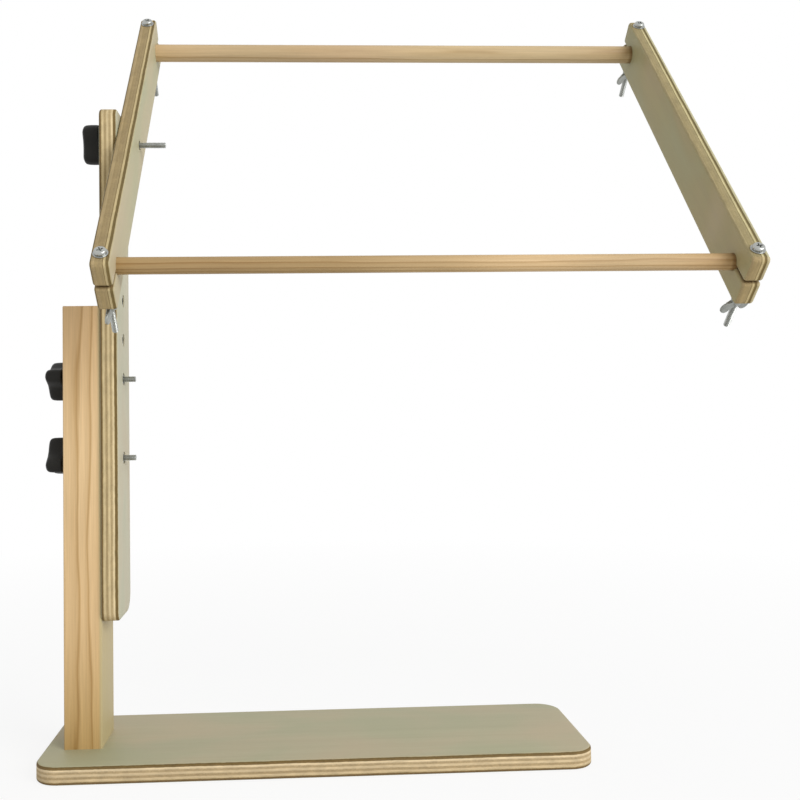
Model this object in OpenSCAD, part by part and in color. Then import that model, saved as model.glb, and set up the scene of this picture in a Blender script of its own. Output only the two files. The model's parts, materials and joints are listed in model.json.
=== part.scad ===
// Embroidery stand: a base board, a post, an arm that slides up the post, and a tilting work frame.
// Origin at the centre of the base board's underside. X runs to the right, Y to the back, Z up.

/* [Boards] */
// Thickness of the plywood in the base, arm and side bars
ply_t = 18; // [15:1:21]
// Round-over along the edges of the plywood boards
edge_r = 3; // [1:0.5:4]

/* [Base] */
// Length of the base board, left to right
base_len = 545; // [480:5:650]
// Depth of the base board, front to back
base_depth = 160; // [140:5:220]
// Corner radius of the base board seen from above
base_corner_r = 24; // [8:1:40]

/* [Post] */
// Width of the post, left to right
post_w = 38; // [30:1:45]
// Depth of the post, front to back
post_d = 63; // [45:1:70]
// Height of the post above the base board
post_h = 445; // [420:5:520]
// Gap between the base board's left end and the post
post_inset = 20; // [10:1:40]
// Round-over of the post's upright edges
post_edge_r = 1.5; // [1:0.5:5]

/* [Arm] */
// Width of the arm board, front to back
arm_w = 70; // [66:1:90]
// Height of the arm's lower end above the table
arm_z0 = 144; // [130:1:160]
// Height of the arm's upper end above the table
arm_z1 = 666; // [660:1:700]
// Radius of the arm's two rear corners
arm_back_r = 20; // [8:1:30]
// Radius of the arm's two front corners
arm_front_r = 9; // [4:1:20]
// Height of the lower height knob above the table
lower_stud_z = 307; // [300:1:320]
// Spacing of the holes in the arm
hole_pitch = 41; // [38:1:44]
// How far the arm slides down from where it is
slide_down = 80; // [40:5:80]
// How far the arm slides up from where it is
slide_up = 40; // [20:5:45]

/* [Work frame] */
// Height of the tilt axis above the table
pivot_z = 636; // [630:1:640]
// Tilt of the work frame above level, with its back end up
tilt = 48; // [0:1:60]
// Length of each side bar
bar_len = 460; // [400:5:520]
// Height of each side bar, across its flat side
bar_h = 56; // [50:1:64]
// Radius of the side bars' corners
bar_corner_r = 5; // [3:0.5:8]
// Clear width between the side bars
frame_gap = 575; // [400:5:650]
// Distance from a bar's end to the centre of its rod
rod_e = 31; // [29:0.5:35]
// Diameter of the front rod
front_rod_d = 16; // [14:1:20]
// Diameter of the back rod
back_rod_d = 20; // [14:1:20]
// Width of the saw kerf that lets the bar's end clamp the rod
kerf_w = 2; // [1:0.5:3]

/* [Hardware] */
// Thread diameter of the studs and clamp screws
thread_d = 6; // [5:1:6]
// Length of a height stud, from the knob's foot
height_stud_len = 70; // [66:1:80]
// Length of the tilt stud, from the knob's foot
tilt_stud_len = 65; // [60:1:80]
// Outer radius of the knob's lobes
knob_r = 22; // [16:0.5:24]
// Overall height of a knob
knob_h = 20; // [16:0.5:24]
// Number of lobes on a knob
knob_lobes = 3; // [3:1:6]
// Distance from a bar's end to its clamp screw
screw_e = 14; // [12:0.5:15]
// Length of a clamp screw under its head
screw_len = 95; // [75:5:100]
// Span of a wing nut, tip to tip
wing_span = 32; // [28:1:34]
// Height of a wing nut
wing_h = 17; // [14:0.5:19]

/* [Hidden] */

// Smoothness of round holes and shafts
hole_fn = 64;
// Small overrun that lets a cut pass through a face
cut = 1;

// Colours
ply_face = [0.72, 0.70, 0.58];
ply_bar = [0.70, 0.66, 0.50];
pine = [0.80, 0.66, 0.46];
rod_pine = [0.74, 0.60, 0.40];
black_plastic = [0.10, 0.10, 0.09];
zinc = [0.66, 0.67, 0.66];

// Where the boards stand from left to right
post_x0 = -base_len/2 + post_inset;
arm_x0 = post_x0 + post_w;
pivot_gap = 0.1;
left_bar_x0 = arm_x0 + ply_t + pivot_gap;
right_bar_x0 = left_bar_x0 + ply_t + frame_gap;

// Holes in the arm, counted from the lower height stud
stud_holes = [0, 2];
open_holes = [3, 4];
upper_stud_z = lower_stud_z + stud_holes[1]*hole_pitch;

// Fits
thread_r = thread_d/2;
running_gap = 0.05;
snug_gap = 0.02;
screw_gap = 0.15;
clear_r = thread_r + 0.3;

// Slot in the post that the height studs slide in
slot_w = thread_d + 1;
slot_end_gap = 1;

// Insert nuts, screwed in from the side that the stud comes out of and sunk below the wood's face
insert_sink = 0.8;
insert_len = 12;
insert_socket = 4;
insert_socket_depth = 2;
// The arm's inserts have a flange, the tilt insert is a plain sleeve
insert_r = 4.5;
insert_flange_r = 6.5;
insert_flange_t = 1;
tilt_insert_r = 5;

// Knob: a round foot, a scalloped grip above it and a bevelled top
knob_foot_r = 10.5;
knob_foot_h = 2.5;
knob_waist_r = 12.5;
knob_scallop_r = 20;
knob_bevel = 5.5;
stud_in_knob = 12;
knob_washer_r = 9;
knob_washer_t = 1.5;

// Bevel along the kerfs' edges
kerf_ease = 2;

// Clamp screw and its washers
screw_head_r = 5.8;
screw_head_h = 3.8;
screw_washer_r = 7;
screw_washer_t = 1.2;
recess_len = 6;
recess_w = 1.3;
recess_depth = 2;

// Wing nut
nut_foot_r = 6;
nut_top_r = 4.6;
nut_body_h = 8;
wing_t = 2.6;
wing_ear_r = 5.6;
wing_root_h = 1.4;

// Wood screws under the post
wood_screw_r = 2.5;
wood_screw_len = 60;
wood_screw_head_r = 5;
wood_screw_head_h = 3.4;
wood_screw_sink = 0.6;
wood_screw_y = 14;
post_mid_x = post_x0 + post_w/2;

// Turns of the wing nuts about their screws, and of the knobs about their studs
left_front_turn = 78;
left_back_turn = 84;
right_front_turn = 18;
right_back_turn = 35;
tilt_knob_turn = 42;
upper_knob_turn = 78;
lower_knob_turn = 114;

// Corner of a rectangle that a round of radius r replaces
module corner_waste(r) {
    difference() {
        translate([-cut, -cut]) square([r + cut, r + cut]);
        translate([r, r]) circle(r, $fn = hole_fn);
    }
}

// Rectangle from the origin, with radii for its near-left, near-right, far-right and far-left corners
module round_rect(w, h, radii) {
    difference() {
        square([w, h]);
        corner_waste(radii[0]);
        translate([w, 0]) mirror([1, 0]) corner_waste(radii[1]);
        translate([w, h]) rotate(180) corner_waste(radii[2]);
        translate([0, h]) mirror([0, 1]) corner_waste(radii[3]);
    }
}

// Plate from the origin: face_w by face_h in X and Y, thick in Z, with eased edges all round
module eased_plate(face_w, face_h, t, radii) {
    eased = [edge_r, edge_r, edge_r, edge_r];
    intersection() {
        linear_extrude(t) round_rect(face_w, face_h, radii);
        translate([0, face_h, 0]) rotate([90, 0, 0])
            linear_extrude(face_h) round_rect(face_w, t, eased);
        rotate([90, 0, 90])
            linear_extrude(face_w) round_rect(face_h, t, eased);
    }
}

// Cylinder along +X from x0
module rod_x(r, x0, len) {
    translate([x0, 0, 0]) rotate([0, 90, 0]) cylinder(r = r, h = len, $fn = hole_fn);
}

// Places children in the work frame: X across it, Y up the slope, Z square to it, from the tilt axis
module in_frame() {
    translate([0, 0, pivot_z]) rotate([tilt, 0, 0]) children();
}

// Places children at one of the four clamp screws, Z along the screw towards its head
module at_clamp(bar_x0, end) {
    in_frame() translate([bar_x0 + ply_t/2, end*(bar_len/2 - screw_e), 0]) children();
}

module base_board() {
    color(ply_face) difference() {
        translate([-base_len/2, -base_depth/2, 0])
            eased_plate(base_len, base_depth, ply_t, [for (i = [1:4]) base_corner_r]);
        for (y = [-wood_screw_y, wood_screw_y]) translate([post_mid_x, y, 0]) {
            translate([0, 0, -cut])
                cylinder(r = wood_screw_r + screw_gap, h = ply_t + 2*cut, $fn = hole_fn);
            wood_screw_head(screw_gap);
            translate([0, 0, -cut])
                cylinder(r = wood_screw_head_r + screw_gap, h = cut + wood_screw_sink + snug_gap,
                    $fn = hole_fn);
        }
    }
}

// Countersunk head of a wood screw, grown by gap
module wood_screw_head(gap) {
    translate([0, 0, wood_screw_sink])
        cylinder(r1 = wood_screw_head_r + gap, r2 = wood_screw_r + gap, h = wood_screw_head_h, $fn = hole_fn);
}

module wood_screw(y) {
    color(zinc) translate([post_mid_x, y, 0]) difference() {
        union() {
            wood_screw_head(0);
            translate([0, 0, wood_screw_sink])
                cylinder(r = wood_screw_r, h = wood_screw_len - 6, $fn = hole_fn);
            translate([0, 0, wood_screw_sink + wood_screw_len - 6])
                cylinder(r1 = wood_screw_r, r2 = 0.3, h = 6, $fn = hole_fn);
        }
        translate([0, 0, wood_screw_sink]) cross_recess(5, 1.1, 2.2);
    }
}

// Cross-shaped socket for a screwdriver, cut upwards from Z = 0
module cross_recess(len, w, depth) {
    for (a = [0, 90]) rotate(a) translate([-len/2, -w/2, -cut]) cube([len, w, depth + cut]);
}

module post() {
    slot_z0 = lower_stud_z - slide_down - slot_end_gap;
    slot_z1 = upper_stud_z + slide_up + slot_end_gap;
    color(pine) difference() {
        translate([post_x0, -post_d/2, ply_t])
            linear_extrude(post_h)
            round_rect(post_w, post_d, [for (i = [1:4]) post_edge_r]);
        for (z = [slot_z0, slot_z1]) translate([0, 0, z]) rod_x(slot_w/2, post_x0 - cut, post_w + 2*cut);
        translate([post_x0 - cut, -slot_w/2, slot_z0])
            cube([post_w + 2*cut, slot_w, slot_z1 - slot_z0]);
        for (y = [-wood_screw_y, wood_screw_y]) translate([post_mid_x, y, ply_t - cut])
            cylinder(r = wood_screw_r + snug_gap, h = wood_screw_len - ply_t + 2*cut, $fn = hole_fn);
    }
}

module arm_board() {
    color(ply_face) difference() {
        translate([arm_x0, -arm_w/2, arm_z0]) rotate([90, 0, 90])
            eased_plate(arm_w, arm_z1 - arm_z0, ply_t,
                [arm_front_r, arm_back_r, arm_back_r, arm_front_r]);
        for (i = concat(stud_holes, open_holes)) translate([0, 0, lower_stud_z + i*hole_pitch]) {
            rod_x(clear_r, arm_x0 - cut, ply_t + 2*cut);
            insert_pocket(arm_x0 + ply_t, insert_r);
            rod_x(insert_flange_r + snug_gap, arm_x0 + ply_t - insert_sink - insert_flange_t - snug_gap,
                insert_sink + insert_flange_t + snug_gap + cut);
        }
        translate([0, 0, pivot_z]) rod_x(clear_r, arm_x0 - cut, ply_t + 2*cut);
    }
}

// Pocket for an insert nut of radius r in the wood whose face is at x
module insert_pocket(x, r) {
    depth = insert_sink + insert_len + snug_gap;
    rod_x(r + snug_gap, x - depth, depth + cut);
}

// Insert nut of radius r below the face at x, with a flange if flange_r is larger than r
module insert_nut(x, r, flange_r) {
    top = x - insert_sink;
    difference() {
        union() {
            rod_x(r, top - insert_len, insert_len);
            rod_x(flange_r, top - insert_flange_t, insert_flange_t);
        }
        rod_x(thread_r + running_gap, top - insert_len - cut, insert_len + 2*cut);
        translate([top - insert_socket_depth, 0, 0]) rotate([0, 90, 0])
            cylinder(r = insert_socket, h = insert_socket_depth + cut, $fn = 6);
    }
}

module arm_inserts() {
    color(zinc) for (i = concat(stud_holes, open_holes))
        translate([0, 0, lower_stud_z + i*hole_pitch])
            insert_nut(arm_x0 + ply_t, insert_r, insert_flange_r);
}

module tilt_insert() {
    color(zinc) in_frame() insert_nut(left_bar_x0 + ply_t, tilt_insert_r, tilt_insert_r);
}

// Outline of a knob: a circle with a scallop between each two lobes, the first lobe along X
module knob_outline() {
    difference() {
        circle(knob_r, $fn = hole_fn);
        for (i = [0 : knob_lobes - 1]) rotate((i + 0.5)*360/knob_lobes)
            translate([knob_waist_r + knob_scallop_r, 0]) circle(knob_scallop_r, $fn = hole_fn);
    }
}

// Knob standing outwards (to -X) on a washer at the face x, height z, turned about its stud
module knob(x, z, turn) {
    color(black_plastic) translate([x - knob_washer_t, 0, z]) rotate([turn, 0, 0]) rotate([0, -90, 0])
        difference() {
            union() {
                cylinder(r = knob_foot_r, h = knob_foot_h + cut, $fn = hole_fn);
                translate([0, 0, knob_foot_h]) intersection() {
                    linear_extrude(knob_h - knob_foot_h) knob_outline();
                    union() {
                        cylinder(r = knob_r + cut, h = knob_h - knob_foot_h - knob_bevel, $fn = hole_fn);
                        translate([0, 0, knob_h - knob_foot_h - knob_bevel])
                            cylinder(r1 = knob_r, r2 = knob_r - knob_bevel, h = knob_bevel, $fn = hole_fn);
                    }
                }
            }
            translate([0, 0, -cut])
                cylinder(r = thread_r + snug_gap, h = stud_in_knob + snug_gap + cut, $fn = hole_fn);
        }
}

// Threaded stud from inside the knob at the face x, with a pointed end
module stud(x, z, len) {
    foot = x - knob_washer_t;
    color(zinc) translate([0, 0, z]) {
        rod_x(thread_r, foot - stud_in_knob, stud_in_knob + len - 1);
        translate([foot + len - 1, 0, 0]) rotate([0, 90, 0])
            cylinder(r1 = thread_r, r2 = thread_r - 0.8, h = 1, $fn = hole_fn);
    }
}

module knob_washer(x, z) {
    color(zinc) translate([0, 0, z]) difference() {
        rod_x(knob_washer_r, x - knob_washer_t, knob_washer_t);
        rod_x(clear_r, x - knob_washer_t - cut, knob_washer_t + 2*cut);
    }
}

module upper_height_knob() { knob(post_x0, upper_stud_z, upper_knob_turn); }
module upper_height_stud() { stud(post_x0, upper_stud_z, height_stud_len); }
module upper_height_washer() { knob_washer(post_x0, upper_stud_z); }
module lower_height_knob() { knob(post_x0, lower_stud_z, lower_knob_turn); }
module lower_height_stud() { stud(post_x0, lower_stud_z, height_stud_len); }
module lower_height_washer() { knob_washer(post_x0, lower_stud_z); }
module tilt_knob() { knob(arm_x0, pivot_z, tilt_knob_turn); }
module tilt_stud() { stud(arm_x0, pivot_z, tilt_stud_len); }
module tilt_washer() { knob_washer(arm_x0, pivot_z); }

// Side bar, from the work frame's tilt axis, with a kerf clamp at each end
module side_bar(x0, with_pivot) {
    rod_r = [front_rod_d/2, back_rod_d/2];
    color(ply_bar) in_frame() difference() {
        translate([x0, -bar_len/2, -bar_h/2]) rotate([90, 0, 90])
            eased_plate(bar_len, bar_h, ply_t, [for (i = [1:4]) bar_corner_r]);
        for (k = [0, 1]) {
            end = 2*k - 1;
            translate([0, end*(bar_len/2 - rod_e), 0])
                rod_x(rod_r[k] + running_gap, x0 - cut, ply_t + 2*cut);
            kerf(x0, end);
            translate([x0 + ply_t/2, end*(bar_len/2 - screw_e), -bar_h/2 - cut])
                cylinder(r = clear_r, h = bar_h + 2*cut, $fn = hole_fn);
        }
        if (with_pivot) {
            rod_x(clear_r, x0 - cut, ply_t + 2*cut);
            insert_pocket(x0 + ply_t, tilt_insert_r);
        }
    }
}

// Saw kerf from a bar's end to its rod, with a bevelled mouth and bevelled edges on both faces
module kerf(x0, end) {
    mouth = edge_r + kerf_w/2;
    half_w = kerf_w/2 + kerf_ease;
    translate([x0, end*bar_len/2, 0]) {
        translate([-cut, 0, 0]) rotate([90, 0, 90]) linear_extrude(ply_t + 2*cut) {
            translate([end > 0 ? -rod_e : -cut, -kerf_w/2]) square([rod_e + cut, kerf_w]);
            polygon([[end*cut, -mouth - cut], [end*cut, mouth + cut], [-end*mouth, 0]]);
        }
        translate([0, end > 0 ? cut : rod_e, 0]) rotate([90, 0, 0]) linear_extrude(rod_e + cut) {
            polygon([[-cut, -half_w - cut], [half_w, 0], [-cut, half_w + cut]]);
            polygon([[ply_t + cut, -half_w - cut], [ply_t - half_w, 0], [ply_t + cut, half_w + cut]]);
        }
    }
}

module left_side_bar() { side_bar(left_bar_x0, true); }
module right_side_bar() { side_bar(right_bar_x0, false); }

// Rod through both side bars, its ends just inside their outer faces
module cross_rod(d, end) {
    end_inset = 1;
    color(rod_pine) in_frame() translate([0, end*(bar_len/2 - rod_e), 0])
        rod_x(d/2, left_bar_x0 + end_inset, frame_gap + 2*ply_t - 2*end_inset);
}

module front_rod() { cross_rod(front_rod_d, -1); }
module back_rod() { cross_rod(back_rod_d, 1); }

module clamp_screw(bar_x0, end) {
    seat = bar_h/2 + screw_washer_t;
    dome_r = 2*screw_head_r;
    color(zinc) at_clamp(bar_x0, end) difference() {
        union() {
            translate([0, 0, seat - screw_len + 1]) cylinder(r = thread_r, h = screw_len - 1, $fn = hole_fn);
            translate([0, 0, seat - screw_len]) cylinder(r1 = thread_r - 0.8, r2 = thread_r, h = 1, $fn = hole_fn);
            intersection() {
                translate([0, 0, seat]) cylinder(r = screw_head_r, h = screw_head_h, $fn = hole_fn);
                translate([0, 0, seat + screw_head_h - dome_r]) sphere(dome_r, $fn = hole_fn);
            }
        }
        translate([0, 0, seat + screw_head_h]) mirror([0, 0, 1]) cross_recess(recess_len, recess_w, recess_depth);
    }
}

// Washer on the side of the bar that side points to: 1 under the head, -1 at the nut
module clamp_washer(bar_x0, end, side) {
    z0 = side > 0 ? bar_h/2 : -bar_h/2 - screw_washer_t;
    color(zinc) at_clamp(bar_x0, end) translate([0, 0, z0]) difference() {
        cylinder(r = screw_washer_r, h = screw_washer_t, $fn = hole_fn);
        translate([0, 0, -cut]) cylinder(r = clear_r, h = screw_washer_t + 2*cut, $fn = hole_fn);
    }
}

// Outline of one wing: a round ear on a web from the nut's body, seen along the flat of the wing
module wing_outline() {
    ear_x = wing_span/2 - wing_ear_r;
    ear_y = wing_h - wing_ear_r;
    translate([ear_x, ear_y]) circle(wing_ear_r, $fn = hole_fn);
    polygon([
        [0, wing_root_h],
        [nut_foot_r - 1, wing_root_h],
        [ear_x + wing_ear_r*cos(-30), ear_y + wing_ear_r*sin(-30)],
        [ear_x + wing_ear_r*cos(150), ear_y + wing_ear_r*sin(150)],
        [0, nut_body_h]
    ]);
}

module wing_nut(bar_x0, end, turn) {
    color(zinc) at_clamp(bar_x0, end)
        translate([0, 0, -bar_h/2 - screw_washer_t]) mirror([0, 0, 1]) rotate(turn) difference() {
            union() {
                cylinder(r1 = nut_foot_r, r2 = nut_top_r, h = nut_body_h, $fn = hole_fn);
                for (a = [0, 180]) rotate(a) translate([0, wing_t/2, 0]) rotate([90, 0, 0])
                    linear_extrude(wing_t) wing_outline();
            }
            translate([0, 0, -cut]) cylinder(r = thread_r + running_gap, h = wing_h + 2*cut, $fn = hole_fn);
        }
}

base_board();
post();
wood_screw(-wood_screw_y);  // base_screw_front
wood_screw(wood_screw_y);  // base_screw_back
arm_board();
arm_inserts();
upper_height_knob();
upper_height_stud();
upper_height_washer();
lower_height_knob();
lower_height_stud();
lower_height_washer();
tilt_knob();
tilt_stud();
tilt_washer();
tilt_insert();
left_side_bar();
right_side_bar();
front_rod();
back_rod();
clamp_screw(left_bar_x0, -1);  // left_front_clamp_screw
clamp_washer(left_bar_x0, -1, 1);  // left_front_head_washer
clamp_washer(left_bar_x0, -1, -1);  // left_front_nut_washer
wing_nut(left_bar_x0, -1, left_front_turn);  // left_front_wing_nut
clamp_screw(left_bar_x0, 1);  // left_back_clamp_screw
clamp_washer(left_bar_x0, 1, 1);  // left_back_head_washer
clamp_washer(left_bar_x0, 1, -1);  // left_back_nut_washer
wing_nut(left_bar_x0, 1, left_back_turn);  // left_back_wing_nut
clamp_screw(right_bar_x0, -1);  // right_front_clamp_screw
clamp_washer(right_bar_x0, -1, 1);  // right_front_head_washer
clamp_washer(right_bar_x0, -1, -1);  // right_front_nut_washer
wing_nut(right_bar_x0, -1, right_front_turn);  // right_front_wing_nut
clamp_screw(right_bar_x0, 1);  // right_back_clamp_screw
clamp_washer(right_bar_x0, 1, 1);  // right_back_head_washer
clamp_washer(right_bar_x0, 1, -1);  // right_back_nut_washer
wing_nut(right_bar_x0, 1, right_back_turn);  // right_back_wing_nut
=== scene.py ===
import json
import math

import bpy
from mathutils import Matrix, Vector


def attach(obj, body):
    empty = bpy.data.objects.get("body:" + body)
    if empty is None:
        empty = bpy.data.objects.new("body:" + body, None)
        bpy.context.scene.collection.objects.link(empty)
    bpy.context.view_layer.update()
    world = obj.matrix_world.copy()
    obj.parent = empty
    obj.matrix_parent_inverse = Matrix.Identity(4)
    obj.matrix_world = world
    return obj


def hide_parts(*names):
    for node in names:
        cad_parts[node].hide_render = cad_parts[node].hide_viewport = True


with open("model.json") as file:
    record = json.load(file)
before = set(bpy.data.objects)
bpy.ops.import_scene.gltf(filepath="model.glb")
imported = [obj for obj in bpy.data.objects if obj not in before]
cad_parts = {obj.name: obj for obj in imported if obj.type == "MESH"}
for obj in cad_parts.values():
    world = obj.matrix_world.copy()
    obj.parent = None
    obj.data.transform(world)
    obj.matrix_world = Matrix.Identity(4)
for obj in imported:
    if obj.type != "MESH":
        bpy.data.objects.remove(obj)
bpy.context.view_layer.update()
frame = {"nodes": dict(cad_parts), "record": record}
mm = 0.001

# Places that the pieces share, in metres
workTilt = 48  # degrees
tiltAxisHeight = 636 * mm
contactGap = 0.02 * mm  # between a moving piece and the face that it bears on
tiny = 0.001 * mm  # points closer than this lie at the same height
laidAlongY = (math.radians(90), 0, 0)  # turns an upright cylinder
thicknessToX = Matrix(((0, 0, 1, 0), (1, 0, 0, 0), (0, 1, 0, 0), (0, 0, 0, 1)))  # a board stood on edge


def moved(x, y, z):
    return Matrix.Translation((x, y, z))


def turned(degrees, axis):
    return Matrix.Rotation(math.radians(degrees), 4, axis)


workFrame = moved(0, 0, tiltAxisHeight) @ turned(workTilt, "X")


# Modelling helpers
def dropSelection():
    if bpy.context.mode != "OBJECT":
        bpy.ops.object.mode_set(mode="OBJECT")
    bpy.ops.object.select_all(action="DESELECT")


def only(piece):
    dropSelection()
    bpy.context.view_layer.objects.active = piece
    piece.select_set(True)


def pick(piece, kind, wanted):
    # leaves the piece in edit mode with only the wanted edges or faces selected
    only(piece)
    bpy.ops.object.mode_set(mode="EDIT")
    bpy.ops.mesh.select_mode(type=kind)
    bpy.ops.mesh.select_all(action="DESELECT")
    bpy.ops.object.mode_set(mode="OBJECT")
    mesh = piece.data
    if kind == "EDGE":
        for edge in mesh.edges:
            edge.select = wanted(*(mesh.vertices[i].co for i in edge.vertices))
    else:
        for face in mesh.polygons:
            face.select = wanted(face)
    bpy.ops.object.mode_set(mode="EDIT")


def facing(axis, way):
    # chooses the faces square to an axis: way 1 looks up it, -1 down it and 0 both ways
    return lambda face: (face.normal[axis] * way if way else abs(face.normal[axis])) > 0.99


def edgesAt(height):
    return lambda a, b: abs(a.z - height) < tiny and abs(b.z - height) < tiny


def bevelPicked(width, segments, **settings):
    bpy.ops.mesh.bevel(offset=width, segments=segments, affect="EDGES", **settings)
    dropSelection()


def bevelRims(piece, wanted, width, segments=3, **settings):
    # bevels the outline of the wanted faces
    pick(piece, "FACE", wanted)
    bpy.ops.mesh.region_to_loop()
    bevelPicked(width, segments, **settings)


def modify(piece, kind, **settings):
    # adds a modifier, sets it and applies it at once
    only(piece)
    step = piece.modifiers.new(kind, kind)
    for name, value in settings.items():
        setattr(step, name, value)
    bpy.ops.object.modifier_apply(modifier=step.name)


def settle(piece, place=None):
    # puts the piece's place into its mesh and leaves the object at the origin
    only(piece)
    if place is not None:
        piece.matrix_world = place @ piece.matrix_world
    bpy.ops.object.transform_apply(location=True, rotation=True, scale=True)


def joinPieces(pieces):
    dropSelection()
    for piece in pieces:
        piece.select_set(True)
    bpy.context.view_layer.objects.active = pieces[0]
    if len(pieces) > 1:
        bpy.ops.object.join()
    return pieces[0]


def combine(piece, others, how, crossing=False):
    # how is DIFFERENCE, UNION or INTERSECT; crossing says that the others overlap; they are used up
    other = joinPieces(others)
    modify(piece, "BOOLEAN", operation=how, solver="EXACT", use_self=crossing, object=other)
    bpy.data.objects.remove(other)


def smoothShade(piece, angle=30):
    only(piece)
    bpy.ops.object.shade_smooth_by_angle(angle=math.radians(angle))


def copyPiece(piece):
    twin = piece.copy()
    twin.data = piece.data.copy()
    bpy.context.scene.collection.objects.link(twin)
    return twin


def drawLine(points):
    # one vertex pulled from point to point, as when a profile is drawn by hand
    dropSelection()
    bpy.ops.mesh.primitive_plane_add(size=1 * mm)
    line = bpy.context.object
    bpy.ops.object.mode_set(mode="EDIT")
    bpy.ops.mesh.select_mode(type="VERT")
    bpy.ops.mesh.merge(type="CENTER")
    bpy.ops.transform.translate(value=points[0])
    for start, end in zip(points, points[1:]):
        step = Vector(end) - Vector(start)
        bpy.ops.mesh.extrude_region_move(TRANSFORM_OT_translate={"value": step})
    dropSelection()
    return line


def finishPiece(piece, node, place, material):
    first, *others = node.split("_")
    piece.name = first + "".join(word.capitalize() for word in others) + "Shaped"
    settle(piece, place)
    piece.data.materials.clear()
    piece.data.materials.append(material)
    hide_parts(node)
    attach(piece, bodyOfNode[node])


def makeCylinder(radius, depth, around=64, at=(0, 0, 0), turn=(0, 0, 0)):
    dropSelection()
    bpy.ops.mesh.primitive_cylinder_add(
        vertices=around, radius=radius, depth=depth, location=at, rotation=turn
    )
    settle(bpy.context.object)
    return bpy.context.object


def makeCone(lowRadius, highRadius, depth, around, at):
    dropSelection()
    bpy.ops.mesh.primitive_cone_add(
        vertices=around, radius1=lowRadius, radius2=highRadius, depth=depth, location=at
    )
    settle(bpy.context.object)
    return bpy.context.object


def makeBlock(size, at=(0, 0, 0)):
    dropSelection()
    bpy.ops.mesh.primitive_cube_add(size=1, location=at)
    block = bpy.context.object
    block.scale = size
    settle(block)
    return block


bodyOfNode = {}
for bodyName, nodeNames in frame["record"]["behaviour"]["bodies"].items():
    for nodeName in nodeNames:
        bodyOfNode[nodeName] = bodyName


# Material helpers
def tint(red, green, blue):
    # a colour as it is read on a screen, 0 to 255, turned into the shader's own values
    def one(value):
        value /= 255
        return value / 12.92 if value <= 0.04045 else ((value + 0.055) / 1.055) ** 2.4

    return (one(red), one(green), one(blue), 1)


def feed(tree, socket, value):
    # another node's output is linked, a plain value is set
    if isinstance(value, bpy.types.NodeSocket):
        tree.links.new(value, socket)
    else:
        socket.default_value = value


def addNode(tree, kind, inputs, **settings):
    node = tree.nodes.new(kind)
    for name, value in settings.items():
        setattr(node, name, value)
    for name, value in inputs.items():
        feed(tree, node.inputs[name], value)
    return node


def maths(tree, operation, a, b=0.0, clamp=False):
    return addNode(tree, "ShaderNodeMath", {0: a, 1: b}, operation=operation, use_clamp=clamp).outputs[0]


def blendColour(tree, share, a, b, how="MIX"):
    node = addNode(tree, "ShaderNodeMix", {}, data_type="RGBA", blend_type=how, clamp_result=True)
    sockets = {s.identifier: s for s in (*node.inputs, *node.outputs)}
    feed(tree, sockets["Factor_Float"], share)
    feed(tree, sockets["A_Color"], a)
    feed(tree, sockets["B_Color"], b)
    return sockets["Result_Color"]


def multiply(tree, colour, by):
    return blendColour(tree, 1.0, colour, by, "MULTIPLY")


def blendValue(tree, share, a, b):
    return addNode(tree, "ShaderNodeMix", {0: share, 2: a, 3: b}).outputs[0]


def noise(tree, vector, perMetre, detail=3.0, roughness=0.6, distortion=0.0):
    # perMetre: how many waves lie in a metre along x, y and z
    place = addNode(tree, "ShaderNodeMapping", {"Vector": vector, "Scale": perMetre}).outputs[0]
    return addNode(tree, "ShaderNodeTexNoise", {
        "Vector": place, "Scale": 1.0, "Detail": detail, "Roughness": roughness, "Distortion": distortion,
    }).outputs[0]


def ramp(tree, value, stops, easing="LINEAR"):
    node = addNode(tree, "ShaderNodeValToRGB", {0: value})
    node.color_ramp.interpolation = easing
    marks = node.color_ramp.elements
    while len(marks) < len(stops):
        marks.new(0.5)
    for mark, (place, colour) in zip(marks, stops):
        mark.position = place
        mark.color = colour
    return node.outputs[0]


def rescale(tree, value, low, high, newLow, newHigh):
    node = addNode(tree, "ShaderNodeMapRange", {0: value, 1: low, 2: high, 3: newLow, 4: newHigh})
    return node.outputs[0]


def spread(tree, value, low, high):
    # noise lies mostly between 0.3 and 0.7
    return rescale(tree, value, 0.3, 0.7, low, high)


def newGroup(name, inputs, outputs):
    group = bpy.data.node_groups.new(name, "ShaderNodeTree")
    for socketName, kind, value in inputs:
        socket = group.interface.new_socket(socketName, in_out="INPUT", socket_type=kind)
        if value is not None:
            socket.default_value = value
    for socketName, kind in outputs:
        group.interface.new_socket(socketName, in_out="OUTPUT", socket_type=kind)
    start = group.nodes.new("NodeGroupInput")
    end = group.nodes.new("NodeGroupOutput")
    return group, start.outputs, end


def useGroup(tree, group, inputs):
    return addNode(tree, "ShaderNodeGroup", inputs, node_tree=group).outputs


def newMaterial(name):
    material = bpy.data.materials.new(name)
    material.use_nodes = True
    tree = material.node_tree
    tree.nodes.clear()
    output = tree.nodes.new("ShaderNodeOutputMaterial")
    shader = tree.nodes.new("ShaderNodeBsdfPrincipled")
    tree.links.new(shader.outputs[0], output.inputs[0])
    return material, tree, shader


def objectPlace(tree):
    return tree.nodes.new("ShaderNodeTexCoord").outputs["Object"]


def localPlace(tree, toLocal):
    # object coordinates turned and moved into a board's or rod's own axes
    return addNode(tree, "ShaderNodeMapping", {
        "Vector": objectPlace(tree),
        "Location": toLocal.to_translation(),
        "Rotation": toLocal.to_euler("XYZ"),
    }).outputs[0]


def split(tree, vector):
    return addNode(tree, "ShaderNodeSeparateXYZ", {0: vector}).outputs


def lengthOf(tree, vector):
    return addNode(tree, "ShaderNodeVectorMath", {0: vector}, operation="LENGTH").outputs["Value"]


def multiplyAdd(tree, value, by, plus):
    return addNode(tree, "ShaderNodeMath", {0: value, 1: by, 2: plus}, operation="MULTIPLY_ADD").outputs[0]


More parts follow.
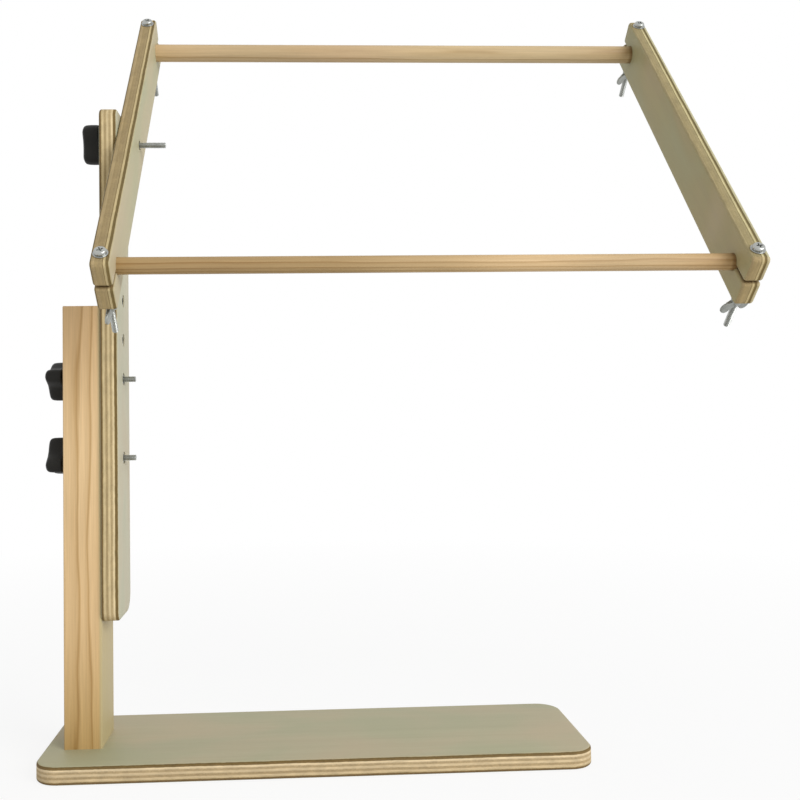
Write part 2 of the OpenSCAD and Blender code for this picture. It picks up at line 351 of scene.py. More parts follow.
def greyOf(tree, value):
    return addNode(tree, "ShaderNodeCombineColor", {0: value, 1: value, 2: value}).outputs[0]


def bumpFrom(tree, shader, height, strength, distance):
    bump = addNode(tree, "ShaderNodeBump", {"Height": height, "Strength": strength, "Distance": distance})
    tree.links.new(bump.outputs[0], shader.inputs["Normal"])


# Plywood
ply = {
    "thickness": 18 * mm,
    "rawEdge": 0.72,  # roughness
    "sandedFace": (0.50, 0.60),  # roughness, least and most
    # painted shade: the colour, share and reach of the darkening inside the saw slits and at their mouths
    "sawn": tint(118, 94, 56),
    "slitShadeShare": 0.75,
    "slitShadeReach": (1.0 * mm, 2.2 * mm),  # from a slit's middle, where the painted shade starts to fade and has gone
    # across a sheet's edge, face to face: place, colour, 1 where the grain runs across the board
    "boardLayers": [
        (0.000, (200, 188, 152), 0), (0.040, (190, 174, 134), 0), (0.052, (112, 88, 50), 1),
        (0.110, (122, 98, 60), 1), (0.160, (150, 126, 84), 1), (0.185, (206, 184, 142), 0),
        (0.290, (214, 192, 152), 0), (0.325, (184, 160, 120), 1), (0.425, (180, 156, 116), 1),
        (0.455, (212, 190, 150), 0), (0.560, (216, 194, 154), 0), (0.590, (186, 162, 122), 1),
        (0.690, (192, 168, 128), 1), (0.715, (222, 200, 160), 0), (0.805, (232, 210, 170), 0),
        (0.830, (132, 108, 64), 1), (0.962, (110, 88, 46), 1), (0.974, (190, 174, 134), 0),
        (1.000, (200, 188, 152), 0),
    ],
    "barLayers": [
        (0.000, (196, 182, 144), 0), (0.040, (180, 164, 124), 0), (0.052, (110, 90, 48), 1),
        (0.085, (126, 104, 62), 1), (0.100, (178, 156, 112), 0), (0.260, (182, 160, 118), 0),
        (0.290, (170, 148, 104), 1), (0.460, (176, 154, 110), 1), (0.490, (168, 146, 104), 1),
        (0.640, (176, 156, 112), 1), (0.655, (134, 112, 70), 1), (0.680, (150, 128, 84), 0),
        (0.700, (210, 190, 142), 0), (0.790, (206, 186, 138), 0), (0.815, (130, 110, 66), 1),
        (0.930, (108, 90, 46), 1), (0.950, (182, 166, 126), 0), (1.000, (196, 182, 144), 0),
    ],
}


def makePlyGroup(name, layers):
    # Vector: x along the face grain, y across it, z through the sheet from its middle, in metres
    group, given, result = newGroup(
        name,
        [("Vector", "NodeSocketVector", None), ("Half Length", "NodeSocketFloat", 0.2),
         ("Corner", "NodeSocketFloat", 0.01), ("Sheet", "NodeSocketFloat", 0.0),
         ("Layer Shift", "NodeSocketFloat", 0.0), ("Edge Tone", "NodeSocketColor", (1, 1, 1, 1)),
         ("End Tone", "NodeSocketColor", (1, 1, 1, 1)),
         ("Face Light", "NodeSocketColor", tint(190, 184, 158)),
         ("Face Dark", "NodeSocketColor", tint(176, 168, 138))],
        [("Color", "NodeSocketColor"), ("Roughness", "NodeSocketFloat"), ("Height", "NodeSocketFloat")],
    )
    tree = group
    where = given["Vector"]
    shift = addNode(tree, "ShaderNodeCombineXYZ", {0: given["Sheet"], 1: given["Sheet"], 2: 0.0}).outputs[0]
    sheetPlace = addNode(tree, "ShaderNodeVectorMath", {0: where, 1: shift}, operation="ADD").outputs[0]
    parts = split(tree, where)

    # depth through the sheet, with layers that wander a little
    slow = noise(tree, sheetPlace, (12, 12, 0), 1.0, 0.55)
    quick = noise(tree, sheetPlace, (210, 210, 60), 2.0, 0.55)
    wander = maths(tree, "ADD", spread(tree, slow, -0.016, 0.016), spread(tree, quick, -0.006, 0.006))
    trueDepth = multiplyAdd(tree, parts[2], 1 / ply["thickness"], 0.5)
    depth = maths(tree, "ADD", maths(tree, "ADD", trueDepth, wander), given["Layer Shift"])
    edgeTint = ramp(tree, depth, [(place, tint(*colour)) for place, colour, crossing in layers])
    turns = [layers[0]] + [b for a, b in zip(layers, layers[1:]) if a[2] != b[2]]
    grainTurns = [(place, (crossing,) * 3 + (1,)) for place, colour, crossing in turns]
    across = ramp(tree, depth, grainTurns, "CONSTANT")

    # how far the edge has turned from the long side to the end, by its place on the rounded corner
    lengthOut = maths(tree, "SUBTRACT", maths(tree, "ABSOLUTE", parts[0]), given["Half Length"])
    endness = maths(tree, "ADD", maths(tree, "DIVIDE", lengthOut, given["Corner"]), 1.0, True)
    endGrain = maths(tree, "ABSOLUTE", maths(tree, "SUBTRACT", across, endness))

    # fibres run along x in one layer and along y in the next, and cut ends show as fine specks
    alongX = noise(tree, sheetPlace, (30, 800, 1000))
    alongY = noise(tree, sheetPlace, (800, 30, 1000))
    fibre = blendValue(tree, across, alongX, alongY)
    blotch = noise(tree, sheetPlace, (90, 90, 160))
    tone = maths(tree, "MULTIPLY", spread(tree, fibre, 0.80, 1.10), spread(tree, blotch, 0.86, 1.08))
    tone = maths(tree, "MULTIPLY", tone, rescale(tree, endGrain, 0.0, 1.0, 1.02, 0.92))
    edgeTint = multiply(tree, edgeTint, greyOf(tree, tone))
    sideTone = blendColour(tree, endness, given["Edge Tone"], given["End Tone"])
    edgeTint = multiply(tree, edgeTint, sideTone)

    # the face veneer: soft bands along the grain, short pores and slow patches
    bands = noise(tree, sheetPlace, (2.2, 60, 1), 4.0, distortion=0.4)
    pores = noise(tree, sheetPlace, (45, 1500, 1), 2.0)
    patches = noise(tree, sheetPlace, (6, 11, 1), 2.0, 0.5, 0.6)
    face = blendColour(tree, spread(tree, bands, 0.0, 1.0), given["Face Dark"], given["Face Light"])
    face = blendColour(tree, rescale(tree, patches, 0.45, 0.70, 0.0, 0.55), face, tint(190, 172, 142))
    face = blendColour(tree, rescale(tree, patches, 0.52, 0.28, 0.0, 0.55), face, tint(164, 168, 134))
    face = blendColour(tree, rescale(tree, pores, 0.60, 0.78, 0.0, 0.30), face, tint(140, 126, 94))

    # the veneer shows on the faces and over the start of the rounded edge
    outward = maths(tree, "ABSOLUTE", maths(tree, "SUBTRACT", trueDepth, 0.5))
    outward = maths(tree, "ADD", outward, spread(tree, quick, -0.004, 0.004))
    veneer = rescale(tree, outward, 0.466, 0.476, 0.0, 1.0)
    tree.links.new(blendColour(tree, veneer, edgeTint, face), result.inputs["Color"])
    rough = blendValue(tree, veneer, ply["rawEdge"], spread(tree, bands, *ply["sandedFace"]))
    tree.links.new(rough, result.inputs["Roughness"])
    relief = blendValue(tree, veneer, fibre, maths(tree, "SUBTRACT", 1.0, pores))
    tree.links.new(relief, result.inputs["Height"])
    return group


boardGroup = makePlyGroup("plyStackBoards", ply["boardLayers"])
barGroup = makePlyGroup("plyStackBars", ply["barLayers"])


def makePlywood(name, group, toLocal, values, slitsFrom=None):
    # the last argument: distance from the board's middle at which its slits begin; painted shade darkens
    # their walls and mouths
    material, tree, shader = newMaterial(name)
    where = localPlace(tree, toLocal)
    layers = useGroup(tree, group, {"Vector": where, **values})
    colour = layers["Color"]
    if slitsFrom is not None:
        # painted shade: the slit walls and mouths are mixed towards a dark brown
        parts = split(tree, where)
        beyond = maths(tree, "GREATER_THAN", maths(tree, "ABSOLUTE", parts[0]), slitsFrom)
        fromSlit = maths(tree, "ABSOLUTE", parts[1])
        paintedSlitShade = rescale(tree, fromSlit, *ply["slitShadeReach"], ply["slitShadeShare"], 0.0)
        colour = blendColour(tree, maths(tree, "MULTIPLY", beyond, paintedSlitShade), colour, ply["sawn"])
    tree.links.new(colour, shader.inputs["Base Color"])
    tree.links.new(layers["Roughness"], shader.inputs["Roughness"])
    shader.inputs["Specular IOR Level"].default_value = 0.35
    bumpFrom(tree, shader, layers["Height"], strength=0.30, distance=0.4 * mm)
    return material


# Pine
def makePineGroup():
    # Vector: x along the grain, y and z across it from the middle of the tree, in metres
    group, given, result = newGroup(
        "pineRings",
        [("Vector", "NodeSocketVector", None), ("Ring Width", "NodeSocketFloat", 0.006),
         ("Light", "NodeSocketColor", (1, 1, 1, 1)), ("Dark", "NodeSocketColor", (0, 0, 0, 1))],
        [("Color", "NodeSocketColor"), ("Roughness", "NodeSocketFloat"), ("Height", "NodeSocketFloat")],
    )
    tree = group
    where = given["Vector"]
    parts = split(tree, where)
    flat = addNode(tree, "ShaderNodeCombineXYZ", {0: 0.0, 1: parts[1], 2: parts[2]}).outputs[0]
    drift = noise(tree, where, (1.6, 9, 9), 2.0, 0.5)
    wave = noise(tree, where, (6, 60, 60), 2.0, 0.5)
    rings = maths(tree, "DIVIDE", lengthOf(tree, flat), given["Ring Width"])
    rings = maths(tree, "ADD", rings, spread(tree, drift, -0.55, 0.55))
    rings = maths(tree, "ADD", rings, spread(tree, wave, -0.20, 0.20))
    year = maths(tree, "FRACT", rings)
    # pale spring wood darkens slowly into the summer line and stops at once
    stops = ((0.0, 0.50), (0.08, 0.0), (0.50, 0.08), (0.80, 0.40), (0.93, 1.0), (1.0, 0.50))
    late = ramp(tree, year, [(place, (dark, dark, dark, 1)) for place, dark in stops])
    colour = blendColour(tree, late, given["Light"], given["Dark"])
    fibres = noise(tree, where, (12, 520, 520))
    colour = multiply(tree, colour, greyOf(tree, spread(tree, fibres, 0.89, 1.07)))
    ducts = noise(tree, where, (55, 1300, 1300), 1.0, 0.5)
    colour = blendColour(tree, rescale(tree, ducts, 0.72, 0.80, 0.0, 0.35), colour, given["Dark"])
    tree.links.new(colour, result.inputs["Color"])
    tree.links.new(rescale(tree, late, 0.0, 1.0, 0.56, 0.46), result.inputs["Roughness"])
    tree.links.new(multiplyAdd(tree, late, 0.5, fibres), result.inputs["Height"])
    return group


pineGroup = makePineGroup()


def makePine(name, toLocal, ringWidth, light, dark, tones=(), wash=None):
    # tones: axis, low end, high end in metres and the colours that the wood is multiplied by between them
    # wash: axis, start, full strength, and the colour and share that the wood takes on from there
    material, tree, shader = newMaterial(name)
    rings = useGroup(tree, pineGroup, {
        "Vector": localPlace(tree, toLocal), "Ring Width": ringWidth, "Light": light, "Dark": dark,
    })
    colour = rings["Color"]
    sides = split(tree, objectPlace(tree))
    for axis, low, high, colours in tones:
        stops = [(i / (len(colours) - 1), (*shade, 1)) for i, shade in enumerate(colours)]
        toned = ramp(tree, rescale(tree, sides[axis], low, high, 0.0, 1.0), stops, "EASE")
        colour = multiply(tree, colour, toned)
    if wash:
        axis, start, full, shade, share = wash
        colour = blendColour(tree, rescale(tree, sides[axis], start, full, 0.0, share), colour, shade)
    tree.links.new(colour, shader.inputs["Base Color"])
    tree.links.new(rings["Roughness"], shader.inputs["Roughness"])
    shader.inputs["Specular IOR Level"].default_value = 0.35
    bumpFrom(tree, shader, rings["Height"], strength=0.20, distance=0.4 * mm)
    return material


# Metal and plastic
def makeMetal(name, colour, roughness, grain):
    material, tree, shader = newMaterial(name)
    coordinates = objectPlace(tree)
    cloud = noise(tree, coordinates, (90, 90, 90), 4.0)
    fine = noise(tree, coordinates, (1400, 1400, 1400), 2.0)
    dull = tuple(0.78 * c for c in colour[:3]) + (1,)
    shade = blendColour(tree, spread(tree, cloud, 0.0, 1.0), colour, dull)
    tree.links.new(shade, shader.inputs["Base Color"])
    tree.links.new(spread(tree, cloud, roughness - 0.06, roughness + 0.08), shader.inputs["Roughness"])
    shader.inputs["Metallic"].default_value = 1.0
    bumpFrom(tree, shader, fine, strength=grain, distance=0.1 * mm)
    return material


def makePlastic(name):
    material, tree, shader = newMaterial(name)
    coordinates = objectPlace(tree)
    cells = addNode(tree, "ShaderNodeTexVoronoi", {"Vector": coordinates, "Scale": 1600.0})
    cloud = noise(tree, coordinates, (60, 60, 60))
    shade = blendColour(tree, spread(tree, cloud, 0.0, 1.0), tint(24, 23, 20), tint(33, 32, 28))
    tree.links.new(shade, shader.inputs["Base Color"])
    tree.links.new(spread(tree, cloud, 0.42, 0.56), shader.inputs["Roughness"])
    shader.inputs["Specular IOR Level"].default_value = 0.2
    bumpFrom(tree, shader, cells.outputs["Distance"], strength=0.35, distance=0.1 * mm)
    return material


zincPlate = makeMetal("zincPlate", tint(176, 178, 176), roughness=0.30, grain=0.15)
threadZinc = makeMetal("threadZinc", tint(182, 184, 180), roughness=0.28, grain=0.10)
castZinc = makeMetal("castZinc", tint(168, 170, 164), roughness=0.42, grain=0.35)
blackPlastic = makePlastic("blackPlastic")
print("materials ready")


# Boards
def easeOutline(board, eased):
    bevelRims(board, facing(2, 0), eased, 6)


def roundCorners(board, radius, wanted):
    pick(board, "EDGE", lambda a, b: abs(a.z - b.z) > 1 * mm and wanted(a))
    bevelPicked(radius, 10)


def makeBoard(size, cornerNear, cornerFar, eased):
    # a flat board on X, Y with its thickness on Z; cornerNear is the radius at its -X end
    board = makeBlock(size)
    roundCorners(board, cornerNear, lambda a: a.x < cornerNear - size[0] / 2)
    roundCorners(board, cornerFar, lambda a: a.x > size[0] / 2 - cornerFar)
    easeOutline(board, eased)
    return board


def makeDrill(radius, depth, flare, at):
    # a cutter for a round hole through something this deep, with both mouths eased
    drill = makeCylinder(radius, depth - 2 * flare, 56)
    widen = (radius + flare) / radius
    for end in (-1, 1):
        pick(drill, "FACE", facing(2, end))
        bpy.ops.mesh.extrude_region_move(TRANSFORM_OT_translate={"value": (0, 0, end * flare)})
        bpy.ops.transform.resize(value=(widen, widen, 1), center_override=(0, 0, 0))
        bpy.ops.mesh.extrude_region_move(TRANSFORM_OT_translate={"value": (0, 0, end * 2 * mm)})
    settle(drill, moved(*at))
    return drill


base = {
    "size": (545 * mm, 160 * mm, ply["thickness"]),
    "corner": 24 * mm,
    "eased": 2.6 * mm,
    "screwPlaces": [(-233.5 * mm, -14 * mm), (-233.5 * mm, 14 * mm)],
    "screwHole": 2.65 * mm,
    "sinkRadius": 5.15 * mm,
    "sinkDepth": 4.0 * mm,
}
basePlace = moved(0, 0, base["size"][2] / 2)
baseWood = makePlywood("basePlywood", boardGroup, basePlace.inverted(), {
    "Half Length": base["size"][0] / 2, "Corner": base["corner"], "Sheet": 0.0,
    "Face Light": tint(184, 178, 147), "Face Dark": tint(172, 165, 133),
})
baseBoard = makeBoard(base["size"], base["corner"], base["corner"], base["eased"])
sinks = []
for x, y in base["screwPlaces"]:
    sinks.append(makeCylinder(base["screwHole"], 2 * base["size"][2], 32, (x, y, 0)))
    # the cone starts 1 mm below the board, so that it cuts clean through the face
    sinks.append(makeCone(base["sinkRadius"] + 1 * mm, base["screwHole"], base["sinkDepth"] + 1 * mm, 40,
                          (x, y, -base["size"][2] / 2 + base["sinkDepth"] / 2 - 0.5 * mm)))
combine(baseBoard, sinks, "DIFFERENCE", crossing=True)
smoothShade(baseBoard)
finishPiece(baseBoard, "base_board", basePlace, baseWood)
print("base board ready")

post = {
    "size": (38 * mm, 63 * mm, 445 * mm),
    "middle": (-233.5 * mm, 0, 240.5 * mm),
    "eased": 1.5 * mm,
    "topEased": 1.0 * mm,
    "slotWidth": 7 * mm,
    "slotLow": 226 * mm,
    "slotHigh": 430 * mm,
    "mouthEased": 0.4 * mm,
    "mouthTaller": 1.004,  # the slot's mouth against the slot
    "pilotHole": 2.52 * mm,
    "pilotDepth": 42 * mm,
    "heart": (262 * mm, -30 * mm, -200 * mm),
    "ringWidth": 5.2 * mm,
    "light": tint(224, 192, 145),
    "dark": tint(186, 150, 98),
    "tones": [("Z", 18 * mm, 463 * mm,
               ((0.72, 0.67, 0.50), (0.96, 0.94, 0.90), (1, 1, 1), (0.90, 0.86, 0.82)))],
    "wash": ("X", -218 * mm, -215.4 * mm, tint(186, 176, 134), 0.75),
}


def makePost():
    piece = makeBlock(post["size"])
    halfTall = post["size"][2] / 2
    pick(piece, "EDGE", lambda a, b: abs(a.z - b.z) > halfTall)
    bevelPicked(post["eased"], 5)
    pick(piece, "EDGE", edgesAt(halfTall))
    bevelPicked(post["topEased"], 3)
    # a long cutter with round ends, its mouths a little wider
    low = post["slotLow"] - post["middle"][2]
    high = post["slotHigh"] - post["middle"][2]
    middle = (0, 0, (low + high) / 2)
    wide = post["slotWidth"]
    eased = post["mouthEased"]
    slot = makeBlock((post["size"][0] - 2 * eased, wide, high - low + wide), middle)
    pick(slot, "EDGE", lambda a, b: abs(a.x - b.x) > post["size"][0] / 2)
    bevelPicked(wide / 2 - 0.01 * mm, 10)
    for end in (-1, 1):
        pick(slot, "FACE", facing(0, end))
        bpy.ops.mesh.extrude_region_move(TRANSFORM_OT_translate={"value": (end * eased, 0, 0)})
        bpy.ops.transform.resize(value=(1, 1 + 2 * eased / wide, post["mouthTaller"]), center_override=middle)
        bpy.ops.mesh.extrude_region_move(TRANSFORM_OT_translate={"value": (end * 2 * mm, 0, 0)})
    combine(piece, [slot], "DIFFERENCE")
    pilots = [makeCylinder(post["pilotHole"], 2 * post["pilotDepth"], 32, (0, y, -halfTall))
              for x, y in base["screwPlaces"]]
    combine(piece, pilots, "DIFFERENCE")
    smoothShade(piece)
    return piece


postGrain = turned(90, "Y") @ moved(*post["heart"])
postWood = makePine("postPine", postGrain, post["ringWidth"], post["light"], post["dark"], post["tones"],
                    post["wash"])
finishPiece(makePost(), "post", moved(*post["middle"]), postWood)
print("post ready")

arm = {
    "size": (70 * mm, 522 * mm, ply["thickness"]),
    "middle": (-205.5 * mm, 0, 405 * mm),
    "frontCorner": 9 * mm,
    "backCorner": 20 * mm,
    "eased": 2.4 * mm,
    "insertHeights": [307 * mm, 389 * mm, 430 * mm, 471 * mm],
    "throughRadius": 3.3 * mm,
    # radius and depth of an insert's seat
    "barrelSeat": (4.52 * mm, 12.82 * mm),
    "flangeSeat": (6.52 * mm, 1.82 * mm),
}
armPlace = moved(*arm["middle"]) @ thicknessToX
armGrain = turned(-90, "Z") @ armPlace.inverted()
armWood = makePlywood("armPlywood", boardGroup, armGrain, {
    "Half Length": arm["size"][1] / 2, "Corner": arm["backCorner"], "Sheet": 3.7, "Layer Shift": 0.02,
    "Edge Tone": (0.99, 1.0, 0.93, 1), "End Tone": (0.99, 1.0, 0.93, 1),
    "Face Light": tint(196, 193, 172), "Face Dark": tint(184, 180, 155),
})
armBoard = makeBoard(arm["size"], arm["frontCorner"], arm["backCorner"], arm["eased"])
armCutters = []
halfThick = arm["size"][2] / 2
for height in arm["insertHeights"]:
    y = height - arm["middle"][2]
    armCutters.append(makeCylinder(arm["throughRadius"], 2 * arm["size"][2], 40, (0, y, 0)))
    for radius, depth in (arm["barrelSeat"], arm["flangeSeat"]):
        armCutters.append(makeCylinder(radius, depth + 1 * mm, 56, (0, y, halfThick - depth / 2 + 0.5 * mm)))
armCutters.append(makeDrill(arm["throughRadius"], arm["size"][2], 0.3 * mm,
                            (0, tiltAxisHeight - arm["middle"][2], 0)))
combine(armBoard, armCutters, "DIFFERENCE", crossing=True)
smoothShade(armBoard)
finishPiece(armBoard, "arm_board", armPlace, armWood)
print("arm board ready")

bar = {
    "size": (460 * mm, 56 * mm, ply["thickness"]),
    "corner": 5 * mm,
    "jawCorner": 3.6 * mm,
    "eased": 3 * mm,
    "rodFromEnd": 31 * mm,
    "screwFromEnd": 14 * mm,
    "screwHole": 3.3 * mm,
    "kerf": 2 * mm,
    "rodHoles": {-1: 8.05 * mm, 1: 10.05 * mm},  # radii at the front and the back end
    "insertHole": 5.02 * mm,
    "insertDepth": 12.82 * mm,
    "middles": {"left": -187.4 * mm, "right": 405.6 * mm},
    "sheet": {"left": 8.3, "right": 12.9},
    "layerShift": {"left": 0.0, "right": 0.15},
    "edgeTone": {"left": (0.90, 0.90, 0.90, 1), "right": (0.90, 0.98, 1.08, 1)},
    "endTone": {"left": (1.12, 1.12, 1.12, 1), "right": (1.16, 1.06, 0.98, 1)},
    # painted shade: the right bar's face colours are darker and yellower than the left's, as the shade on its
    # inner face, which is turned from the lamp
    "faceLight": {"left": (184, 177, 142), "right": (174, 161, 115)},
    "faceDark": {"left": (173, 164, 129), "right": (163, 148, 103)},
}


def makeBar(side):
    length, height, thick = bar["size"]
    piece = makeBlock(bar["size"])
    slits = []
    for end in (-1, 1):
        slits.append(makeBlock((bar["rodFromEnd"] + 2 * mm, bar["kerf"], thick + 4 * mm),
                               (end * (length / 2 - bar["rodFromEnd"] / 2 + 1 * mm), 0, 0)))
    combine(piece, slits, "DIFFERENCE")
    nearEnd = length / 2 - 1 * mm
    roundCorners(piece, bar["corner"], lambda a: abs(a.x) > nearEnd and abs(a.y) > height / 2 - 1 * mm)
    roundCorners(piece, bar["jawCorner"], lambda a: abs(a.x) > nearEnd and abs(a.y) < bar["kerf"])
    easeOutline(piece, bar["eased"])
    cutters = []
    for end in (-1, 1):
        rodAt = end * (length / 2 - bar["rodFromEnd"])
        cutters.append(makeDrill(bar["rodHoles"][end], thick, 0.35 * mm, (rodAt, 0, 0)))
        screwAt = end * (length / 2 - bar["screwFromEnd"])
        cutters.append(makeCylinder(bar["screwHole"], height + 4 * mm, 32, (screwAt, 0, 0), laidAlongY))
    if side == "left":
        cutters.append(makeCylinder(bar["screwHole"], thick + 4 * mm, 40))
        cutters.append(makeCylinder(bar["insertHole"], bar["insertDepth"] + 1 * mm, 56,
                                    (0, 0, thick / 2 - bar["insertDepth"] / 2 + 0.5 * mm)))
    combine(piece, cutters, "DIFFERENCE", crossing=True)
    smoothShade(piece)
    return piece


for side in ("left", "right"):
    barPlace = workFrame @ moved(bar["middles"][side], 0, 0) @ thicknessToX
    barWood = makePlywood(side + "BarPlywood", barGroup, barPlace.inverted(), {
        "Half Length": bar["size"][0] / 2, "Corner": bar["corner"],
        "Sheet": bar["sheet"][side], "Layer Shift": bar["layerShift"][side],
        "Edge Tone": bar["edgeTone"][side], "End Tone": bar["endTone"][side],
        "Face Light": tint(*bar["faceLight"][side]), "Face Dark": tint(*bar["faceDark"][side]),
    }, bar["size"][0] / 2 - bar["rodFromEnd"])
    finishPiece(makeBar(side), side + "_side_bar", barPlace, barWood)
print("side bars ready")

# Rods
rods = {
    "length": 609 * mm,
    "middleX": 109.1 * mm,
    "fromPivot": bar["size"][0] / 2 - bar["rodFromEnd"],
    "endEased": 0.7 * mm,
    "ringWidth": 3.4 * mm,
    "front": {"diameter": 16 * mm, "side": -1, "light": tint(217, 185, 139), "dark": tint(183, 145, 94),
              "heart": (0, 4 * mm, 11 * mm),
              "shades": ((0.64, 0.61, 0.51), (0.61, 0.58, 0.50), (0.63, 0.61, 0.53), (0.77, 0.77, 0.73),
                         (0.98, 0.99, 1.0), (0.82, 0.84, 0.85), (0.74, 0.70, 0.63))},
    "back": {"diameter": 20 * mm, "side": 1, "light": tint(212, 183, 140), "dark": tint(181, 148, 102),
             "heart": (0, -9 * mm, 14 * mm),
             "shades": ((1.0, 1.0, 1.0), (0.84, 0.86, 0.87), (0.88, 0.88, 0.91), (0.93, 0.98, 1.0),
                        (0.88, 0.93, 0.95), (0.80, 0.82, 0.80))},
    "shadesFrom": -190 * mm,
    "shadesTo": 400 * mm,
    # painted shade: a darker ring on each rod where it enters the right bar, standing in for the shadow in
    # the gap round its hole
    "holeShade": ("X", 391.5 * mm, 403 * mm, ((1, 1, 1), (0.58, 0.52, 0.42), (0.58, 0.52, 0.42), (1, 1, 1))),
}


def makeRod(diameter):
    piece = makeCylinder(diameter / 2, rods["length"], 72)
    bevelRims(piece, facing(2, 0), rods["endEased"])
    smoothShade(piece)
    return piece


for end in ("front", "back"):
    rod = rods[end]
    rodMiddle = workFrame @ moved(rods["middleX"], rod["side"] * rods["fromPivot"], 0)
    rodGrain = moved(*rod["heart"]) @ rodMiddle.inverted()
    # the second tone is the painted shade at the right bar's holes
    rodTones = (("X", rods["shadesFrom"], rods["shadesTo"], rod["shades"]), rods["holeShade"])
    rodWood = makePine(end + "RodPine", rodGrain, rods["ringWidth"], rod["light"], rod["dark"], rodTones)
    finishPiece(makeRod(rod["diameter"]), end + "_rod", rodMiddle @ turned(90, "Y"), rodWood)
print("rods ready")

# Hardware
thread = {
    "crest": 3.0 * mm,
    "root": 2.62 * mm,
    "pitch": 1.0 * mm,
    # one turn's outline: place along the pitch, and whether it lies on the crest
    "outline": ((0.0, False), (0.14, False), (0.38, True), (0.72, True), (0.96, False), (1.0, False)),
    "around": 18,
    "tipBevel": 0.7 * mm,
}


def makeThread(length):
    # a threaded rod along Z from the origin, with a bevel at its far tip
    pitch, crest, root = thread["pitch"], thread["crest"], thread["root"]
    start = -2.3 * pitch  # below the origin, so that both ends are cut across whole turns
    rod = drawLine([(crest if onCrest else root, 0, start + along * pitch)
                    for along, onCrest in thread["outline"]])
    modify(rod, "SCREW", angle=math.radians(360), screw_offset=pitch, iterations=round(length / pitch) + 4,
           steps=thread["around"], render_steps=thread["around"])
    only(rod)
    bpy.ops.object.mode_set(mode="EDIT")
    bpy.ops.mesh.select_all(action="SELECT")
    bpy.ops.mesh.remove_doubles(threshold=0.01 * mm)
    for height, side in ((0, -1), (length, 1)):
        bpy.ops.mesh.select_all(action="SELECT")
        bpy.ops.mesh.bisect(plane_co=(0, 0, height), plane_no=(0, 0, side), use_fill=True, clear_outer=True,
                            threshold=0.001 * mm)
    bpy.ops.mesh.select_all(action="SELECT")
    bpy.ops.mesh.normals_make_consistent(inside=False)
    blank = makeCylinder(crest + 0.02 * mm, length + 1 * mm, 36, (0, 0, length / 2 - 0.5 * mm))
    bevelRims(blank, facing(2, 1), thread["tipBevel"], 2)
    combine(rod, [blank], "INTERSECT")
    smoothShade(rod, 35)
    return rod


def makeWasher(outer, inner, thick, eased):
    # stands on Z = 0; its two end faces are inset and bridged into a hole
    washer = makeCylinder(outer, thick, 48, (0, 0, thick / 2))
    pick(washer, "FACE", facing(2, 0))
    bpy.ops.mesh.inset(thickness=outer - inner, use_individual=True)
    bpy.ops.mesh.bridge_edge_loops()
    rim = outer - 0.1 * mm
    pick(washer, "EDGE", lambda a, b: abs(a.z - b.z) < tiny and min(a.xy.length, b.xy.length) > rim)
    bevelPicked(eased, 3)
    smoothShade(washer)
    return washer


postLeft = post["middle"][0] - post["size"][0] / 2
armLeft = arm["middle"][0] - arm["size"][2] / 2
knob = {
    "radius": 22.3 * mm,
    "height": 19.4 * mm,
    "footRadius": 10.5 * mm,
    "footHeight": 2.5 * mm,
    "footEased": 0.4 * mm,
    "columns": 24,
    "lobes": 3,
    # share of the radius kept by the columns at each angle from the middle of a scallop
    "scallop": {0: 0.560, 15: 0.594, 30: 0.742},
    "shoulder": 4.6 * mm,
    "underEdge": 1.0 * mm,
    # insets of the top face from the shoulder inwards, each with its rise
    "crown": ((2.0 * mm, 0.5 * mm), (1.2 * mm, 0.3 * mm), (0.6 * mm, -0.7 * mm), (0.6 * mm, -0.2 * mm)),
    "underside": ((4.0 * mm, 0),),
    "bore": 3.02 * mm,
    "boreDepth": 12.02 * mm,
    "washer": (9 * mm, 3.3 * mm, 1.5 * mm, 0.3 * mm),
    "studInside": 12 * mm,
    # the face that the washer lies on, height, turn about the stud and the stud's length from the foot
    "tilt": (armLeft, tiltAxisHeight, 42, 65 * mm),
    "upper_height": (postLeft, arm["insertHeights"][1], 78, 70 * mm),
    "lower_height": (postLeft, arm["insertHeights"][0], 114, 70 * mm),
}


def fromScallop(point):
    # degrees between a point and the middle of the nearest scallop
    share = 360 / knob["lobes"]
    turn = math.degrees(math.atan2(point.y, point.x)) % share
    return abs(turn - share / 2)


def makeKnob():
    # stands on Z = 0 with its first lobe along X
    low, high = knob["footHeight"], knob["height"]
    piece = makeCylinder(knob["radius"], high - low, knob["columns"], (0, 0, (low + high) / 2))
    for away, share in knob["scallop"].items():
        pick(piece, "EDGE", lambda a, b: abs(a.z - b.z) > 1 * mm and abs(fromScallop(a) - away) < 1)
        bpy.ops.transform.resize(value=(share, share, 1), center_override=(0, 0, 0))
    bevelRims(piece, facing(2, 1), knob["shoulder"], 2)
    bevelRims(piece, facing(2, -1), knob["underEdge"], 2)
    for way, steps in ((1, knob["crown"]), (-1, knob["underside"])):
        pick(piece, "FACE", facing(2, way))
        for inwards, rise in steps:
            bpy.ops.mesh.inset(thickness=inwards)
            bpy.ops.transform.translate(value=(0, 0, rise))
    dropSelection()
    modify(piece, "SUBSURF", levels=3, render_levels=3)
    foot = makeCylinder(knob["footRadius"], low + 2 * mm, 96, (0, 0, low / 2 + 1 * mm))
    pick(foot, "EDGE", edgesAt(0))
    bevelPicked(knob["footEased"], 3)
    combine(piece, [foot], "UNION")
    combine(piece, [makeCylinder(knob["bore"], 2 * knob["boreDepth"], 40)], "DIFFERENCE")
    smoothShade(piece, 40)
    return piece


